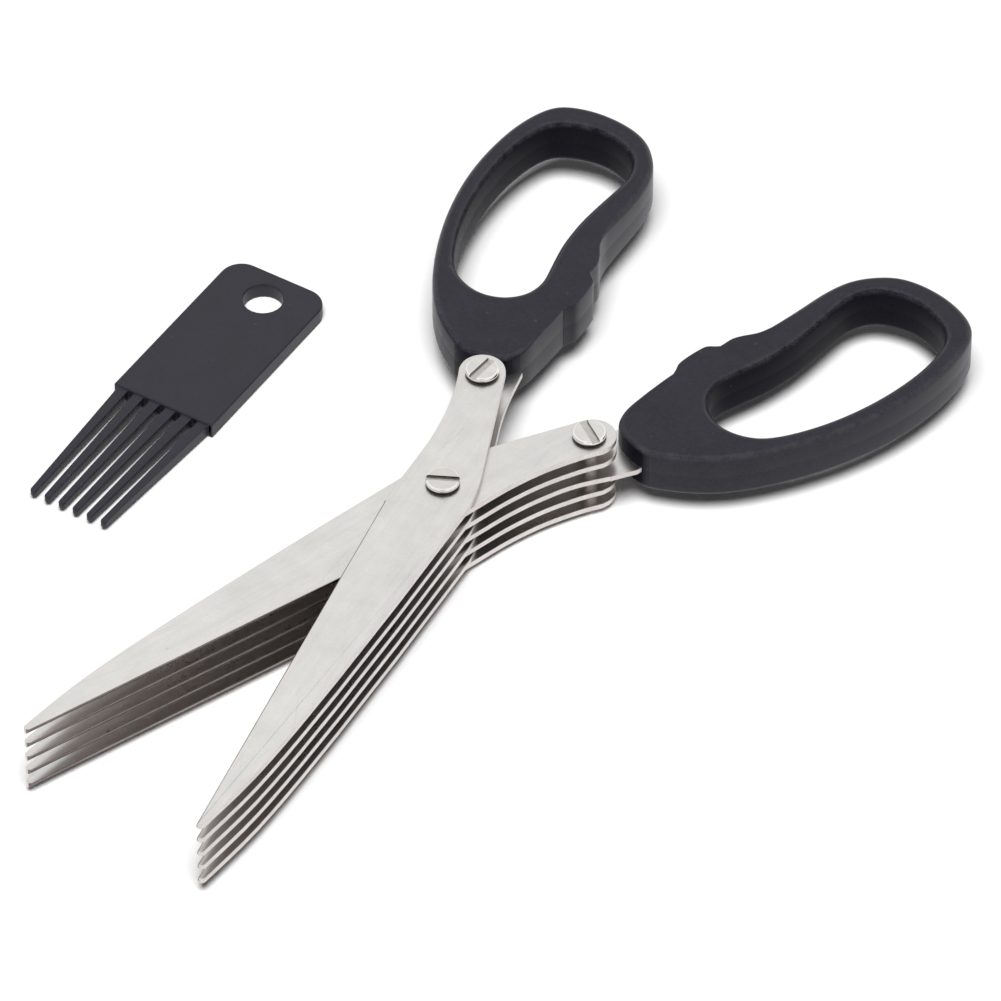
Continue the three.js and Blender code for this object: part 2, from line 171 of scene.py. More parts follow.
def from_half(side, back, half):
    """The step in the frame that goes so far to the side and back on a half."""
    return Matrix.Rotation(-half * HALF_TURN, 3, "Z") @ Vector((half * side, back, 0))


def node_maker(tree):
    """Adds nodes to a tree: values for inputs by name, links where the value is a socket."""
    def add(kind, inputs=None, **settings):
        node = tree.nodes.new(kind)
        for key, value in settings.items():
            setattr(node, key, value)
        for key, value in (inputs or {}).items():
            if isinstance(value, bpy.types.NodeSocket):
                tree.links.new(value, node.inputs[key])
            else:
                node.inputs[key].default_value = value
        return node
    return add


def calculated(add, operation, one, two):
    """The result of a Math node."""
    return add("ShaderNodeMath", {0: one, 1: two}, operation=operation).outputs[0]


def between(add, share, one, two):
    """A number between two, by a share of 0 to 1."""
    return add("ShaderNodeMix", {0: share, 2: one, 3: two}).outputs[0]


def tinted(add, share, one, two):
    """A colour between two, by a share of 0 to 1."""
    return add("ShaderNodeMix", {0: share, 6: one, 7: two}, data_type="RGBA").outputs[2]


def spread(add, value, low, high):
    """Stretches the values between low and high to 0 and 1."""
    return add("ShaderNodeMapRange", {0: value, 1: low, 2: high}).outputs[0]


def levelled(add, value, low, high):
    """Turns 0 and 1 into low and high."""
    return add("ShaderNodeMapRange", {0: value, 3: low, 4: high}).outputs[0]


def cloud(add, place, scale, detail, roughness):
    """Plain noise at a place, about 0 to 1."""
    return add("ShaderNodeTexNoise", {
        "Vector": place, "Scale": scale, "Detail": detail, "Roughness": roughness,
    }).outputs[0]


def effect_group(build, *numbers):
    """A node group, named as its builder, that gives a value from a place and some numbers."""
    group = bpy.data.node_groups.new(build.__name__, "ShaderNodeTree")
    group.interface.new_socket("Vector", in_out="INPUT", socket_type="NodeSocketVector")
    for number in numbers:
        group.interface.new_socket(number, in_out="INPUT", socket_type="NodeSocketFloat")
    group.interface.new_socket("Value", in_out="OUTPUT", socket_type="NodeSocketFloat")
    add = node_maker(group)
    add("NodeGroupOutput", {"Value": build(add, add("NodeGroupInput").outputs)})
    return group


def effects_at(add, place):
    """Adds effect groups at a place, with underscores for blanks in the names of their numbers."""
    def effect(group, **numbers):
        inputs = {"Vector": place, **{key.replace("_", " "): item for key, item in numbers.items()}}
        return add("ShaderNodeGroup", inputs, node_tree=group).outputs["Value"]
    return effect


def mottle(add, given):
    """Soft cloudy variation of a surface, from broad stains to fine grain, about 0 to 1."""
    broad = cloud(add, given["Vector"], given["Scale"], detail=4.0, roughness=0.62)
    fine_scale = calculated(add, "MULTIPLY", given["Scale"], FINE_RATIO)
    fine = cloud(add, given["Vector"], fine_scale, detail=3.0, roughness=0.7)
    return spread(add, between(add, given["Fine Share"], broad, fine), low=0.36, high=0.64)


def drawn_lines(add, given):
    """Fine lines along X of the vector, from grinding or rolling, about 0 to 1."""
    laid = add("ShaderNodeMapping", {"Vector": given["Vector"], "Scale": (LINE_STRETCH, 1, 1)})
    lines = cloud(add, laid.outputs[0], given["Scale"], detail=2.0, roughness=0.6)
    return spread(add, lines, low=0.32, high=0.68)


def specks(add, given):
    """Small round spots strewn at random, 1 in their middle; Share says how many cells have one."""
    cells = add("ShaderNodeTexVoronoi", {"Vector": given["Vector"], "Scale": given["Scale"]})
    spot = spread(add, cells.outputs["Distance"], low=0.22, high=0.08)
    pick = add("ShaderNodeSeparateXYZ", {0: cells.outputs["Color"]}).outputs
    kept = calculated(add, "LESS_THAN", pick[0], given["Share"])
    return calculated(add, "MULTIPLY", spot, calculated(add, "MULTIPLY", kept, pick[1]))


def scratches(add, given):
    """Sparse long hairlines in two directions near X of the vector, 1 in their middle."""
    hairs = []
    for turn in SCRATCH_TURNS:
        laid = add("ShaderNodeMapping", {"Vector": given["Vector"], "Rotation": (0, 0, turn)})
        thin = add("ShaderNodeMapping", {
            "Vector": laid.outputs[0], "Scale": (SCRATCH_STRETCH, 1, 1),
        })
        hair = cloud(add, thin.outputs[0], given["Scale"], detail=1.0, roughness=0.5)
        hairs.append(spread(add, hair, low=0.69, high=0.76))
    return calculated(add, "MAXIMUM", *hairs)


MOTTLE = effect_group(mottle, "Scale", "Fine Share")
DRAWN_LINES = effect_group(drawn_lines, "Scale")
SPECKS = effect_group(specks, "Scale", "Share")
SCRATCHES = effect_group(scratches, "Scale")


def new_material(name):
    """An empty material with its Principled shader, and the maker for its other nodes."""
    material = bpy.data.materials.new(name)
    material.use_nodes = True
    shader = material.node_tree.nodes["Principled BSDF"]
    return material, shader, node_maker(material.node_tree)


def feed(material, shader, **sockets):
    """Links sockets to the shader's inputs, with underscores for blanks in their names."""
    for key, socket in sockets.items():
        material.node_tree.links.new(socket, shader.inputs[key.replace("_", " ")])


def ground_steel(name, tints, rough, lines, turn=0.0):
    """Satin steel: grinding lines along the piece, cloudy stains, hairline scratches and pits."""
    material, shader, add = new_material(name)
    place = add("ShaderNodeTexCoord").outputs["Object"]
    along = add("ShaderNodeMapping", {"Vector": place, "Rotation": (0, 0, turn)}).outputs[0]
    effect = effects_at(add, along)
    broad = effect(MOTTLE, Scale=28.0, Fine_Share=0.15)
    clouds = effect(MOTTLE, Scale=230.0, Fine_Share=0.45)
    ground = effect(DRAWN_LINES, Scale=lines)
    hairs = effect(SCRATCHES, Scale=1500.0)
    spots = effect(SPECKS, Scale=420.0, Share=0.05)
    stains = between(add, CLOUDS_SHARE, broad, clouds)
    blend = between(add, LINES_SHARE, stains, ground)
    colour = tinted(add, blend, *tints)
    colour = tinted(add, calculated(add, "MULTIPLY", hairs, SCRATCH_SHARE), colour, SCRATCH_TINT)
    colour = tinted(add, calculated(add, "MULTIPLY", spots, PIT_SHARE), colour, PIT_TINT)
    polished, dull = rough
    bump = add("ShaderNodeBump", {"Strength": 0.12, "Distance": 0.00004, "Height": ground})
    shader.inputs["Metallic"].default_value = 1.0
    feed(
        material, shader, Base_Color=colour, Roughness=levelled(add, blend, dull, polished),
        Normal=bump.outputs[0],
    )
    return material


def sheared_steel(name):
    """The torn edge that shearing leaves, brighter and warmer, with fine upright lines."""
    material, shader, add = new_material(name)
    place = add("ShaderNodeTexCoord").outputs["Object"]
    upright = add("ShaderNodeMapping", {"Vector": place, "Scale": (1, 1, TEAR_STRETCH)}).outputs[0]
    tears = cloud(add, upright, scale=2600.0, detail=3.0, roughness=0.65)
    clouds = effects_at(add, place)(MOTTLE, Scale=220.0, Fine_Share=0.35)
    colour = tinted(add, between(add, TEARS_SHARE, tears, clouds), *SHEARED_TINTS)
    bump = add("ShaderNodeBump", {"Strength": 0.25, "Distance": 0.00006, "Height": tears})
    shader.inputs["Metallic"].default_value = 1.0
    shader.inputs["Roughness"].default_value = 0.42
    feed(material, shader, Base_Color=colour, Normal=bump.outputs[0])
    return material


def sink_tang(shape, half):
    """Runs the flare of a middle blade on into the handle, and leaves the tongue as it is."""
    back = from_half(0, TANG_SINK, half)
    for vert in shape.verts:
        side, distance = to_half(vert.co, half)
        beside_tongue = abs(side - TONGUE_SIDE) > TONGUE_HALF_WIDTH
        if FLARE_FRONT < distance < TONGUE_END and beside_tongue:
            vert.co += back


def narrow_arm(shape, half):
    """Draws the inner edge of a lower blade's arm back under the blade above it."""
    outward = from_half(NARROW_BY, 0, half)
    for vert in shape.verts:
        side, distance = to_half(vert.co, half)
        if side < NARROW_SIDE and distance > 0 and hypot(side, distance) > NARROW_FROM:
            rise = min(distance / NARROW_FULL, 1)
            fall = min(max((NARROW_END - distance) / NARROW_FADE, 0), 1)
            vert.co += outward * rise * fall


def upright_edges(shape):
    """The edges of a blade that stand upright."""
    return [
        edge for edge in shape.edges
        if abs((edge.verts[1].co - edge.verts[0].co).normalized().z) > UPRIGHT_SHARE
    ]


def arc_over(shape, corners, reach, steps):
    """Turns corners of the outline into arcs."""
    bmesh.ops.bevel(
        shape, geom=corners, offset=reach, segments=steps, profile=0.5, affect="EDGES",
        material=-1, clamp_overlap=True,
    )


def ease_outline(shape, number, half):
    """Makes arcs of the short flats round the boss, and of the bend where the flare starts."""
    arc_over(shape, [
        edge for edge in upright_edges(shape)
        if abs(edge.calc_face_angle(0) - BOSS_TURN) < BOSS_TURN_ERROR
        and to_half(edge.verts[0].co, half)[1] > BOSS_FRONT
    ], BOSS_REACH, BOSS_STEPS)
    if number == FLARED_NUMBER:
        bend = min(upright_edges(shape), key=lambda edge: (
            Vector(to_half(edge.verts[0].co, half)) - FLARE_BEND
        ).length)
        arc_over(shape, [bend], FLARE_REACH, FLARE_STEPS)


def keep_inside(shape, node):
    """Holds the rounding of the tip within the stamping's own length."""
    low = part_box(node)[0]
    for vert in shape.verts:
        vert.co.x = max(vert.co.x, low.x)
        vert.co.y = max(vert.co.y, low.y)


def side_of(polygon, half):
    """A blade's faces: 0 ground on top, 1 below, 2 sheared round it, 3 honed in the mouth; 1 and 3 carry
    painted shade.
    """
    if abs(polygon.normal.z) > UPRIGHT_SHARE:
        return 0 if polygon.normal.z > 0 else 1
    ahead = to_half(polygon.calc_center_median(), half)[1] < MOUTH_SHADE_START
    facing = polygon.normal.dot(from_half(1, 0, half))
    return 3 if ahead and facing > MOUTH_SHADE_FACING else 2


sheared = sheared_steel("sheared_edge")
for half_name, half in HALVES.items():
    along_blade = pi / 2 + half * HALF_TURN
    ground = ground_steel(
        f"ground_face_{half_name}", GROUND_TINTS, rough=(0.24, 0.36), lines=1400.0, turn=along_blade,
    )
    # The undersides, darkened as painted shade.
    underside_shade = ground_steel(
        f"shaded_underside_{half_name}", GAP_SHADE_TINTS, rough=(0.3, 0.42), lines=900.0, turn=along_blade,
    )
    # The honed mouth edges, darkened further as painted shade between the blades.
    mouth_shade = ground_steel(
        f"mouth_shade_edge_{half_name}", MOUTH_SHADE_TINTS, rough=(0.25, 0.4), lines=900.0, turn=along_blade,
    )
    for number in BLADE_NUMBERS:
        node = f"{half_name}_blade_{number}"
        shape = merged_copy(node)
        if number == FLARED_NUMBER:
            sink_tang(shape, half)
        if number in NARROW_NUMBERS:
            narrow_arm(shape, half)
        ease_outline(shape, number, half)
        rounded(shape, BLADE_EDGE_ROUND)
        keep_inside(shape, node)
        for polygon in shape.faces:
            polygon.material_index = side_of(polygon, half)
        weighted(piece_of(
            shape, f"{node}_steel", f"{half_name}_half", node,
            [ground, underside_shade, sheared, mouth_shade],
        ))


# Washers, spacers and cap nuts. Turned from bright nickelled steel rod: the washers keep the pairs
# of blades apart on the pivot, the spacers do so on the rear screws, and a low cap nut closes each
# screw underneath. Each has its bore and lightly broken edges.
TURNED_STEPS = 64
TURNED_BREAK = 0.00012
BORE_RADII = {"pivot": 0.0021, "rear": 0.0015}
RING_NUMBERS = range(1, 5)
CAP_FLOOR = 0.0005
CAP_CHAMFER = 0.0003
# Painted highlight: the spacers and pivot washers are tinted brighter and creamier than the nickel, so
# they show as bright columns between the dark blades.
SPACER_HIGHLIGHT_TINTS = ((0.9, 0.87, 0.8, 1), (0.98, 0.96, 0.91, 1))
NICKEL_TINTS = ((0.60, 0.585, 0.55, 1), (0.78, 0.765, 0.735, 1))


def spun(profile, centre):
    """Spins a closed profile of (radius, height) points about the upright line through centre."""
    shape = bmesh.new()
    verts = [shape.verts.new((radius, 0, height)) for radius, height in profile]
    edges = [shape.edges.new(pair) for pair in zip(verts, verts[1:])]
    if profile[0][0] > 0:
        edges.append(shape.edges.new((verts[-1], verts[0])))
    bmesh.ops.spin(
        shape, geom=verts + edges, cent=(0, 0, 0), axis=(0, 0, 1), angle=2 * pi,
        steps=TURNED_STEPS, use_merge=True,
    )
    bmesh.ops.remove_doubles(shape, verts=shape.verts, dist=WELD_DISTANCE)
    bmesh.ops.recalc_face_normals(shape, faces=shape.faces)
    bmesh.ops.translate(shape, verts=shape.verts, vec=(centre.x, centre.y, 0))
    return shape


def ring_profile(outer, bore, low, high):
    """The section of a ring, with its outer corners broken."""
    return [
        (bore, low), (outer - TURNED_BREAK, low), (outer, low + TURNED_BREAK),
        (outer, high - TURNED_BREAK), (outer - TURNED_BREAK, high), (bore, high),
    ]


turned_nickel = ground_steel("turned_nickel", NICKEL_TINTS, rough=(0.13, 0.24), lines=900.0)
# A brighter copy of the nickel for the spacers and washers, as a painted highlight.
spacer_highlight_nickel = ground_steel("spacer_highlight_nickel", SPACER_HIGHLIGHT_TINTS, rough=(0.05, 0.1), lines=900.0)
rings = [("right_half", f"pivot_washer_{number}", "pivot") for number in RING_NUMBERS]
caps = [("right_half", "pivot_cap_nut", "pivot")]
for half_name in HALVES:
    body = f"{half_name}_half"
    rings += [(body, f"{half_name}_spacer_{number}", "rear") for number in RING_NUMBERS]
    caps.append((body, f"{half_name}_rear_cap_nut", "rear"))
for body, node, kind in rings:
    low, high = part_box(node)
    outer = (high.x - low.x) / 2
    shape = spun(ring_profile(outer, BORE_RADII[kind], low.z, high.z), (low + high) / 2)
    piece_of(shape, f"{node}_turned", body, node, [spacer_highlight_nickel])
for body, node, kind in caps:
    low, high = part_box(node)
    outer, bore = (high.x - low.x) / 2, BORE_RADII[kind]
    shape = spun([
        (0, low.z), (outer - CAP_CHAMFER, low.z), (outer, low.z + CAP_CHAMFER),
        (outer, high.z - TURNED_BREAK), (outer - TURNED_BREAK, high.z), (bore, high.z),
        (bore, low.z + CAP_FLOOR), (0, low.z + CAP_FLOOR),
    ], (low + high) / 2)
    piece_of(shape, f"{node}_turned", body, node, [turned_nickel])


# Screws. One long cheese-head screw is the pivot and one more clamps the rear of each half. They
# are turned and nickelled, with the head's rim broken at a slant, and the rim and the head's upper side
# are tinted brighter as a painted highlight. The slot is sawn across it, so its corners are crisp and
# its floor is duller than the face. Its walls, and a band round the foot of the head, are tinted near
# black as painted shade.
HEAD_HEIGHT = 0.0012
HEAD_SLANT = 0.00036
HEAD_BULGE = 0.00012
HEAD_SHADE = 0.0005
HEAD_ROUND = 0.00008
HEAD_RELIEF = 0.00024
SLOT_WIDTHS = {"pivot": 0.0012, "rear": 0.0015}
SLOT_DEPTH = 0.0004
SLOT_ROUND = 0.00004
SLOT_TURNS = {
    "pivot_screw": radians(33),
    "left_rear_screw": radians(79) + HALF_TURN,
    "right_rear_screw": radians(164) - HALF_TURN,
}
SAW_REACH_SHARE = 3
SHANK_RADII = {"pivot": 0.0018, "rear": 0.0012}
SAWN_TINTS = ((0.36, 0.34, 0.31, 1), (0.62, 0.6, 0.57, 1))
RIM_HIGHLIGHT_TINTS = ((0.76, 0.75, 0.73, 1), (0.93, 0.925, 0.91, 1))
PAINTED_SHADE_TINTS = ((0.045, 0.036, 0.028, 1), (0.15, 0.13, 0.11, 1))


def slot_cutter(centre, top, turn, reach, width):
    """The saw's path across a head, with a bright floor and walls dark with painted shade, as an object.
    """
    shape = bmesh.new()
    bmesh.ops.create_cube(shape, size=1)
    bmesh.ops.scale(shape, vec=(reach, width, 2 * SLOT_DEPTH), verts=shape.verts)
    bmesh.ops.rotate(shape, matrix=Matrix.Rotation(turn, 3, "Z"), verts=shape.verts)
    bmesh.ops.translate(shape, vec=(centre.x, centre.y, top), verts=shape.verts)
    for polygon in shape.faces:
        polygon.material_index = int(abs(polygon.normal.z) < UPRIGHT_SHARE)
    return placed("saw", shape, [sawn_steel, painted_shade_steel])


def cut_by(piece, cutter):
    """Takes the cutter out of a piece's mesh for good, and removes the cutter."""
    saw = piece.modifiers.new("saw", "BOOLEAN")
    saw.operation = "DIFFERENCE"
    saw.solver = "EXACT"
    saw.material_mode = "TRANSFER"
    saw.object = cutter
    bpy.context.view_layer.update()
    seen = piece.evaluated_get(bpy.context.evaluated_depsgraph_get())
    made = bpy.data.meshes.new_from_object(seen)
    piece.modifiers.remove(saw)
    piece.data = made
    bpy.data.objects.remove(cutter)


screw_nickel = ground_steel("screw_nickel", NICKEL_TINTS, rough=(0.08, 0.16), lines=1300.0)
# A brighter copy of the nickel, as a painted highlight on the head's rim and upper side.
rim_highlight_nickel = ground_steel("rim_highlight_nickel", RIM_HIGHLIGHT_TINTS, rough=(0.04, 0.08), lines=1300.0)
sawn_steel = ground_steel("sawn_steel", SAWN_TINTS, rough=(0.26, 0.36), lines=2200.0)
# Near-black steel, as painted shade on the slot's walls and round the foot of the head.
painted_shade_steel = ground_steel("painted_shade_steel", PAINTED_SHADE_TINTS, rough=(0.3, 0.42), lines=2200.0)
for node, turn in SLOT_TURNS.items():
    low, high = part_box(node)
    centre, outer = (low + high) / 2, (high.x - low.x) / 2
    kind = "pivot" if node.startswith("pivot") else "rear"
    shank = SHANK_RADII[kind]
    under = high.z - HEAD_HEIGHT
    shape = spun([
        (0, low.z), (shank, low.z), (shank, under), (outer - HEAD_RELIEF, under),
        (outer - HEAD_RELIEF, under + HEAD_RELIEF), (outer - HEAD_ROUND, under + HEAD_RELIEF),
        (outer, under + HEAD_RELIEF + HEAD_ROUND), (outer, under + HEAD_SHADE),
        (outer, high.z - HEAD_SLANT), (outer - HEAD_BULGE, high.z - HEAD_BULGE),
        (outer - HEAD_SLANT, high.z), (0, high.z),
    ], centre)
    # The head's foot band takes the painted shade, its upper side and rim the painted highlight, its
    # face the plain nickel.
    for polygon in shape.faces:
        height = polygon.calc_center_median().z
        if height > under:
            polygon.material_index = 1 if height < under + HEAD_SHADE else 2
        if polygon.normal.z > UPRIGHT_SHARE:
            polygon.material_index = 0
    body = "left_half" if node.startswith("left") else "right_half"
    piece = piece_of(
        shape, f"{node}_turned", body, node,
        [screw_nickel, painted_shade_steel, rim_highlight_nickel],
    )
    reach = SAW_REACH_SHARE * outer
    cut_by(piece, slot_cutter(centre, high.z, turn, reach, SLOT_WIDTHS[kind]))
    crisp = piece.modifiers.new("broken_corners", "BEVEL")
    crisp.width = SLOT_ROUND
    crisp.segments = ROUND_STEPS
    crisp.limit_method = "ANGLE"
    crisp.angle_limit = CORNER_ANGLE
    crisp.use_clamp_overlap = False
    weighted(piece)


# Handles. One closed finger loop to each half, injection moulded in black plastic round the tang,
# with a fine parting line at half height. The rim is rolled over softly all round, but stays
# crisp along the stop pad on the inner side, where the two handles meet when the scissors close.
SECTION_SHARE = 0.28
CURVE_ORDER = 4
CURVE_STEPS = 6
NORMAL_REACH = 3
RIM_ROUND = 0.0012
LOOP_ROUND = 0.0013
PAD_ROUND = 0.0003
PAD_PLACE = Vector((-0.0008, 0.0585))
PAD_REACH = (0.0125, 0.024)
RIM_STEPS = 7
RIM_LAND = 0.00005
DRAFT = 0.00002
PARTING_WIDTH = 0.0001
PARTING_DEPTH = 0.00001

# The loop's wall is darker and less shiny than the rest, and a wall that faces the blades darkens in
# steps; both are painted shade.
LOOP_SHADE_RINGS = 6
FRONT_SHADE_SHARES = {"left": (0.4, 0.6, 0.8), "right": (0.88, 0.93, 0.965)}
FRONT_SHADE_END = 0.045
SHADE_STEPS = 3
HANDLE_BLACK = ((0.0122, 0.0113, 0.0172, 1), (0.0215, 0.02, 0.0305, 1))
HANDLE_SHINE = 0.235
LOOP_SHADE_BLACK = ((0.0033, 0.0029, 0.0068, 1), (0.0086, 0.0077, 0.0142, 1))
LOOP_SHADE_SHINE = 0.06
HANDLE_GRAIN = 2600.0
DUST_TINT = (0.05, 0.05, 0.055, 1)
# Paler tint for the rim: rubbed wear, and a painted highlight along its ridge.
RUB_AND_SHEEN_TINT = (0.05, 0.048, 0.056, 1)


def section_loops(node, height):
    """The closed outlines of a CAD node at a height, longest first, as lists of points."""
    shape = merged_copy(node)
    geometry = shape.verts[:] + shape.edges[:] + shape.faces[:]
    cut = bmesh.ops.bisect_plane(shape, geom=geometry, plane_co=(0, 0, height), plane_no=(0, 0, 1))
    edges = {item for item in cut["geom_cut"] if isinstance(item, bmesh.types.BMEdge)}
    loops = []
    while edges:
        edge = edges.pop()
        start, vert = edge.verts
        points = [start.co.copy()]
        while vert is not start:
            points.append(vert.co.copy())
            edge = next(item for item in vert.link_edges if item in edges)
            edges.remove(edge)
            vert = edge.other_vert(vert)
        loops.append(points)
    shape.free()
    return sorted(loops, key=len, reverse=True)


def smoothed(points):
    """A smooth closed curve along the points, anticlockwise, as many finer points."""
    curve = bpy.data.curves.new("outline", "CURVE")
    curve.dimensions = "3D"
    spline = curve.splines.new("NURBS")
    spline.points.add(len(points) - 1)
    for place, point in zip(spline.points, points):
        place.co = (*point, 1)
    spline.use_cyclic_u = True
    spline.order_u = CURVE_ORDER
    spline.resolution_u = CURVE_STEPS
    holder = bpy.data.objects.new("outline", curve)
    mesh = bpy.data.meshes.new_from_object(holder)
    fine = [vert.co.copy() for vert in mesh.vertices]
    bpy.data.objects.remove(holder)
    bpy.data.curves.remove(curve)
    bpy.data.meshes.remove(mesh)
    area = sum(one.x * two.y - two.x * one.y for one, two in zip(fine, fine[1:] + fine[:1]))
    return fine if area > 0 else fine[::-1]


def inward(points):
    """The unit directions into the outline at each of its points, evened out over a few."""
    after = points[NORMAL_REACH:] + points[:NORMAL_REACH]
    before = points[-NORMAL_REACH:] + points[:-NORMAL_REACH]
    along = [(one - two).normalized() for one, two in zip(after, before)]
    return [Vector((-item.y, item.x, 0)) for item in along]


def add_ring(shape, points, rub_and_sheen_share):
    """A closed ring of new vertices and edges, rubbed by hands, and lit by a painted highlight, by a
    share of 0 to 1.
    """
    rub = shape.verts.layers.float["rub"]
    verts = [shape.verts.new(point) for point in points]
    for vert in verts:
        vert[rub] = rub_and_sheen_share
    return [shape.edges.new(pair) for pair in zip(verts, verts[1:] + verts[:1])]


def upper_wall(shape, points, radii, sign, middle, top):
    """Rings from the parting line up the wall and over the rolled rim; returns the last one."""
    normals = [sign * normal for normal in inward(points)]

    def ring(insets, heights, rub_and_sheen_share=0):
        sites = zip(points, normals, insets, heights)
        return add_ring(shape, [
            Vector((point.x, point.y, height)) + normal * inset
            for point, normal, inset, height in sites
        ], rub_and_sheen_share)

    count = len(points)
    rings = [
        ring([PARTING_DEPTH] * count, [middle] * count),
        ring([0] * count, [middle + PARTING_WIDTH] * count),
    ]
    # Over the rim, the paler tint peaks half-way round: rubbed wear and a painted highlight.
    for step in range(RIM_STEPS + 1):
        turn = pi / 2 * step / RIM_STEPS
        rings.append(ring(
            [DRAFT + radius * (1 - cos(turn)) for radius in radii],
            [top - radius * (1 - sin(turn)) for radius in radii], sin(2 * turn),
        ))
    for number, (one, two) in enumerate(zip(rings, rings[1:])):
        made = bmesh.ops.bridge_loops(shape, edges=one + two)["faces"]
        for polygon in made:
            # The loop's wall and the lower part of its rim take the darkest plastic, as painted shade.
            polygon.material_index = SHADE_STEPS * (sign < 0 and number < LOOP_SHADE_RINGS)
    return rings[-1]


def runs_of(ring, half):
    """A ring's front and rear points, and its edges in two runs between them."""
    def back(place):
        return to_half(ring[place].verts[0].co, half)[1]

    front, rear = min(range(len(ring)), key=back), max(range(len(ring)), key=back)
    turned = ring[front:] + ring[:front]
    split = (rear - front) % len(ring)
    return ring[front].verts[0], ring[rear].verts[0], turned[:split], turned[split:]


def flat_between(shape, outer, inner, half):
    """Fills the flat between two rings, in two fields, with a narrow border of even faces."""
    outer_front, outer_rear, *outer_runs = runs_of(outer, half)
    inner_front, inner_rear, *inner_runs = runs_of(inner, half)
    cuts = [shape.edges.new(ends) for ends in ((outer_front, inner_front), (outer_rear, inner_rear))]
    fields = []
    for outer_run, inner_run in zip(outer_runs, inner_runs):
        fields += bmesh.ops.edgeloop_fill(shape, edges=outer_run + inner_run + cuts)["faces"]
    bmesh.ops.recalc_face_normals(shape, faces=shape.faces)
    bmesh.ops.inset_region(
        shape, faces=fields, thickness=RIM_LAND, use_boundary=True, use_even_offset=True,
    )
    bmesh.ops.triangulate(shape, faces=fields, ngon_method="EAR_CLIP")


def rim_radius(point, half):
    """The rim's rounding at a point of the outline, small beside the stop pad."""
    side, back = to_half(point, half)
    near, far = PAD_REACH
    share = ((Vector((side, back)) - PAD_PLACE).length - near) / (far - near)
    share = min(max(share, 0), 1)
    return PAD_ROUND + (RIM_ROUND - PAD_ROUND) * share * share * (3 - 2 * share)


def moulded_plastic(name, tints, shine, rough, grain):
    """Black moulded plastic: fine spark-eroded grain, faint clouds, dust, and paler edges, both rubbed
    and painted with a highlight.
    """
    material, shader, add = new_material(name)
    place = add("ShaderNodeTexCoord").outputs["Object"]
    effect = effects_at(add, place)
    clouds = effect(MOTTLE, Scale=190.0, Fine_Share=0.6)
    dust = effect(SPECKS, Scale=620.0, Share=0.06)
    scuffs = effect(MOTTLE, Scale=520.0, Fine_Share=0.5)
    rub = add("ShaderNodeAttribute", attribute_name="rub").outputs["Fac"]
    # Paler where rubbed: wear, and a painted highlight along the rim's ridge.
    worn_and_sheen = calculated(add, "MULTIPLY", rub, scuffs)
    colour = tinted(add, dust, tinted(add, clouds, *tints), DUST_TINT)
    colour = tinted(add, worn_and_sheen, colour, RUB_AND_SHEEN_TINT)
    bump = add("ShaderNodeBump", {
        "Strength": 0.35, "Distance": 0.00005,
        "Height": cloud(add, place, grain, detail=2.0, roughness=0.6),
    })
    shader.inputs["Specular IOR Level"].default_value = shine
    feed(
        material, shader, Base_Color=colour, Roughness=levelled(add, clouds, *rough),
        Normal=bump.outputs[0],
    )
    return material


def front_shade_plastic(step):
    """The plastic where a wall turns to the blades, darker and less shiny by so many steps, as painted
    shade.
    """
    share = step / SHADE_STEPS
    tints = [Vector(one).lerp(Vector(two), share) for one, two in zip(HANDLE_BLACK, LOOP_SHADE_BLACK)]
    shine = HANDLE_SHINE + (LOOP_SHADE_SHINE - HANDLE_SHINE) * share
    return moulded_plastic(
        f"front_shade_plastic_{step}", tints, shine, rough=(0.35, 0.44), grain=HANDLE_GRAIN,
    )


handle_plastic = moulded_plastic(
    "handle_plastic", HANDLE_BLACK, HANDLE_SHINE, rough=(0.3, 0.38), grain=HANDLE_GRAIN,
)
# Darker, less shiny copies of the plastic, as painted shade.
front_shade_plastics = [front_shade_plastic(step) for step in range(1, SHADE_STEPS)]
loop_shade_plastic = moulded_plastic(
    "loop_shade_plastic", LOOP_SHADE_BLACK, LOOP_SHADE_SHINE, rough=(0.4, 0.5), grain=HANDLE_GRAIN,
)
for half_name, half in HALVES.items():
    node = f"{half_name}_handle"
    low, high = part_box(node)
    middle = (low.z + high.z) / 2
    height = low.z + SECTION_SHARE * (high.z - low.z)
    outline, loop = [smoothed(points) for points in section_loops(node, height)[:2]]
    shape = bmesh.new()
    shape.verts.layers.float.new("rub")
    outer_ring = upper_wall(
        shape, outline, [rim_radius(point, half) for point in outline], 1, middle, high.z,
    )
    inner_ring = upper_wall(shape, loop, [LOOP_ROUND] * len(loop), -1, middle, high.z)
    flat_between(shape, outer_ring, inner_ring, half)
    bmesh.ops.mirror(
        shape, geom=shape.verts[:] + shape.edges[:] + shape.faces[:],
        matrix=Matrix.Translation((0, 0, -middle)), axis="Z", merge_dist=WELD_DISTANCE,
    )
    bmesh.ops.remove_doubles(shape, verts=shape.verts, dist=WELD_DISTANCE)
    bmesh.ops.recalc_face_normals(shape, faces=shape.faces)
    # Walls near the front that face the blades take darker plastic in steps, as painted shade.
    for polygon in shape.faces:
        if to_half(polygon.calc_center_median(), half)[1] < FRONT_SHADE_END:
            facing = polygon.normal.dot(from_half(0, -1, half))
            steps = sum(facing > share for share in FRONT_SHADE_SHARES[half_name])
            polygon.material_index = steps or polygon.material_index
    piece_of(
        shape, f"{node}_moulding", f"{half_name}_half", node,
        [handle_plastic, *front_shade_plastics, loop_shade_plastic],
    )


# Cleaning comb. One flat moulding in matt black plastic: a plate with a hang hole, and six tapered
# tines in its front edge, a little lower than the plate, that reach between the blades.
COMB_EDGE_ROUND = 0.00014
COMB_BLACK = ((0.0066, 0.006, 0.0115, 1), (0.0155, 0.0142, 0.022, 1))
COMB_SHINE = 0.42
COMB_GRAIN = 3200.0

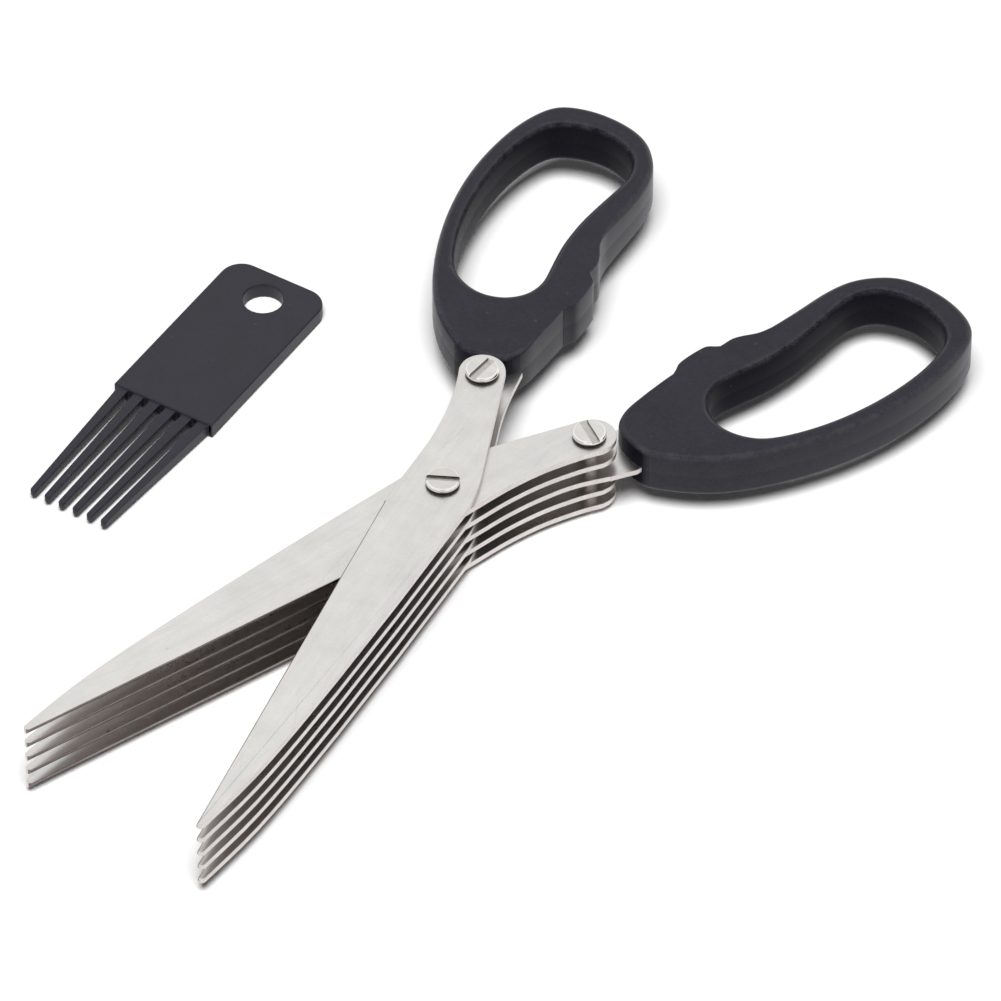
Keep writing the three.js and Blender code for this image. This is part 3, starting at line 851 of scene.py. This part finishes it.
comb_plastic = moulded_plastic(
    "comb_plastic", COMB_BLACK, COMB_SHINE, rough=(0.4, 0.5), grain=COMB_GRAIN,
)
shape = merged_copy("cleaning_comb")
rounded(shape, COMB_EDGE_ROUND)
weighted(piece_of(
    shape, "cleaning_comb_moulding", "cleaning_comb", "cleaning_comb",
    [comb_plastic],
))


# Table. A plain white sheet a hair below the scissors' lowest face, lit by the lamp, so that it
# keeps their shadow. A faint glow that only the camera and reflections see lifts it to white.
FLOOR_SIZE = 8.0
FLOOR_LEVEL = -0.00003
FLOOR_TINT = (0.97, 0.97, 0.97, 1)
FLOOR_LIFT = 0.02
WHITE = (1, 1, 1, 1)


def seen_directly(add):
    """1 for camera, glossy and transmission rays, which see the white surroundings."""
    path = add("ShaderNodeLightPath").outputs
    one = calculated(add, "MAXIMUM", path["Is Camera Ray"], path["Is Glossy Ray"])
    return calculated(add, "MAXIMUM", one, path["Is Transmission Ray"])


def matt_material(name, tint):
    """A material without shine whose glow is white; it gives the material, shader and maker."""
    material, shader, add = new_material(name)
    shader.inputs["Base Color"].default_value = tint
    shader.inputs["Roughness"].default_value = 1.0
    shader.inputs["Specular IOR Level"].default_value = 0.0
    shader.inputs["Emission Color"].default_value = WHITE
    return material, shader, add


def sheet(name, size, place, material):
    """A square sheet of the stage, from its centre's place and turn."""
    shape = bmesh.new()
    bmesh.ops.create_grid(shape, x_segments=1, y_segments=1, size=size / 2, matrix=place)
    thing = placed(name, shape, [material])
    return thing


material, shader, add = matt_material("white_table", FLOOR_TINT)
lift = calculated(add, "MULTIPLY", seen_directly(add), FLOOR_LIFT)
feed(material, shader, Emission_Strength=lift)
sheet("table", FLOOR_SIZE, Matrix.Translation((0, 0, FLOOR_LEVEL)), material)


# Light. One soft lamp, high up on the camera's side, casts the shadows, and the surroundings fill
# them a little. A dark flag behind the camera, which only reflections see, shades the steel.
LAMP_LEVEL = 3.42
LAMP_SPREAD = radians(32)
LAMP_DIRECTION = Vector((-0.195, 0.286, -1.0))
SKY_LEVEL = 0.04
FLAG_SIZE = 1.1
FLAG_DISTANCE = 2.6
FLAG_AZIMUTH = radians(38)
FLAG_ELEVATION = radians(44)
FLAG_LEVEL = 0.04


def towards(azimuth, elevation):
    """The unit direction from the scissors to a viewer; azimuth 0 is at the blades' end."""
    level = cos(elevation)
    return Vector((sin(azimuth) * level, -cos(azimuth) * level, sin(elevation)))


lamp_data = bpy.data.lights.new("soft_lamp", "SUN")
lamp_data.energy = LAMP_LEVEL
lamp_data.angle = LAMP_SPREAD
lamp = bpy.data.objects.new("soft_lamp", lamp_data)
lamp.rotation_euler = LAMP_DIRECTION.to_track_quat("-Z", "Y").to_euler()
lamp.visible_glossy = False
bpy.context.scene.collection.objects.link(lamp)

world = bpy.data.worlds.new("studio")
bpy.context.scene.world = world
world.use_nodes = True
add = node_maker(world.node_tree)
background = world.node_tree.nodes["Background"]
background.inputs["Color"].default_value = WHITE
level = levelled(add, seen_directly(add), SKY_LEVEL, 1.0)
world.node_tree.links.new(level, background.inputs["Strength"])

material, shader, add = matt_material("dark_flag", (0, 0, 0, 1))
shader.inputs["Emission Strength"].default_value = FLAG_LEVEL
flag_direction = towards(FLAG_AZIMUTH, FLAG_ELEVATION)
flag_turn = flag_direction.to_track_quat("Z", "Y").to_matrix().to_4x4()
flag_place = Matrix.Translation(flag_direction * FLAG_DISTANCE) @ flag_turn
flag = sheet("flag", FLAG_SIZE, flag_place, material)
for rays in ("camera", "diffuse", "shadow", "transmission"):
    setattr(flag, f"visible_{rays}", False)


# Camera. It stands past the blades' tips, on the right handle's side, and looks down at the
# middle of the scissors and the comb through a long lens.
CAMERA_TARGET = Vector((-0.00004, 0.01644, 0))
CAMERA_AZIMUTH = radians(38.26)
CAMERA_ELEVATION = radians(44.1)
CAMERA_DISTANCE = 1.689
CAMERA_LENS = 341.66
CAMERA_SENSOR = 36.0

camera_data = bpy.data.cameras.new("camera")
camera_data.lens = CAMERA_LENS
camera_data.sensor_width = CAMERA_SENSOR
camera_data.clip_start = CAMERA_DISTANCE / 10
camera = bpy.data.objects.new("camera", camera_data)
back = towards(CAMERA_AZIMUTH, CAMERA_ELEVATION)
camera.location = CAMERA_TARGET + back * CAMERA_DISTANCE
camera.rotation_euler = (-back).to_track_quat("-Z", "Y").to_euler()
bpy.context.scene.collection.objects.link(camera)
bpy.context.scene.camera = camera
bpy.context.scene.view_settings.view_transform = "Standard"
